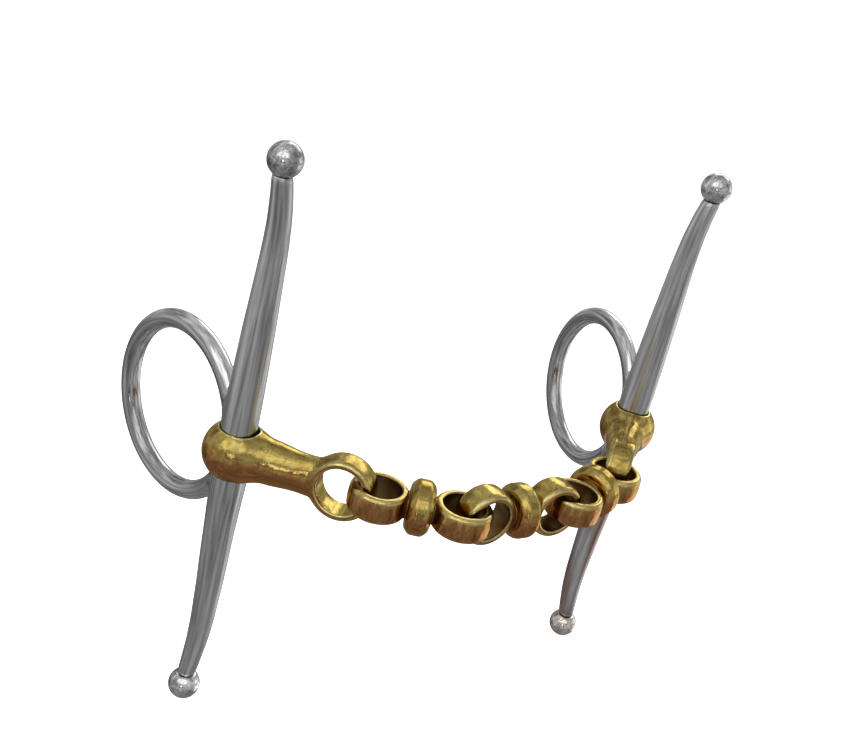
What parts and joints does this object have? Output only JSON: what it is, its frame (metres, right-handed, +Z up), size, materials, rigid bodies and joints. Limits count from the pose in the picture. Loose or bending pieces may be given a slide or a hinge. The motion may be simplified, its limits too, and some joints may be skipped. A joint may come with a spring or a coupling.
{
  "type": "full-cheek chain-mouth snaffle bit",
  "caption": "Horse bit with a flexible chain of cast links between two straight cheek bars, each bar with a fixed rein ring and ball ends.",
  "frame": {"origin": "centre of the left cheek ring, in the plane through the middle of the mouthpiece", "axes": "+Z up the cheek bars, towards the longer arms; +X across the mouth from the left bar to the right bar; +Y towards the side the cheek rings are on, away from the mouthpiece's bow"},
  "size_m": [0.1507, 0.0929, 0.1588],
  "materials": {
    "cheek_steel": "polished stainless steel with fine lengthwise polishing marks",
    "ball_steel": "brightly polished stainless steel",
    "mouth_alloy": "polished yellow copper alloy, browner in the hollows"
  },
  "bodies": {
    "left_cheek": {"left_cheek_bar": "cheek_steel", "left_cheek_ring": "cheek_steel", "left_upper_ball": "ball_steel", "left_lower_ball": "ball_steel"},
    "left_butt": {"left_butt": "mouth_alloy"},
    "left_link": {"left_link": "mouth_alloy"},
    "middle_link": {"middle_link": "mouth_alloy"},
    "right_link": {"right_link": "mouth_alloy"},
    "right_butt": {"right_butt": "mouth_alloy"},
    "right_cheek": {"right_cheek_bar": "cheek_steel", "right_cheek_ring": "cheek_steel", "right_upper_ball": "ball_steel", "right_lower_ball": "ball_steel"}
  },
  "joints": [
    {"name": "left_cheek_hinge", "type": "hinge", "parent": "left_cheek", "child": "left_butt", "pos_m": [0.00626, -0.02338, 0], "axis": [0, 0, 1], "range_deg": [-110, 110]},
    {"name": "left_eye_hinge", "type": "hinge", "parent": "left_butt", "child": "left_link", "pos_m": [0.03416, -0.04891, 0], "axis": [0, 0, 1], "range_deg": [-50, 38]},
    {"name": "left_link_hinge", "type": "hinge", "parent": "left_link", "child": "middle_link", "pos_m": [0.05242, -0.05988, 0], "axis": [0, 0, 1], "range_deg": [-70, 18]},
    {"name": "right_link_hinge", "type": "hinge", "parent": "middle_link", "child": "right_link", "pos_m": [0.08808, -0.0586, 0], "axis": [0, 0, 1], "range_deg": [-60, 28]},
    {"name": "right_eye_hinge", "type": "hinge", "parent": "right_link", "child": "right_butt", "pos_m": [0.10761, -0.05011, 0], "axis": [0, 0, 1], "range_deg": [-60, 27]},
    {"name": "right_cheek_hinge", "type": "hinge", "parent": "right_butt", "child": "right_cheek", "pos_m": [0.13323, -0.02356, 0], "axis": [0, 0, 1], "range_deg": [-110, 110]}
  ]
}
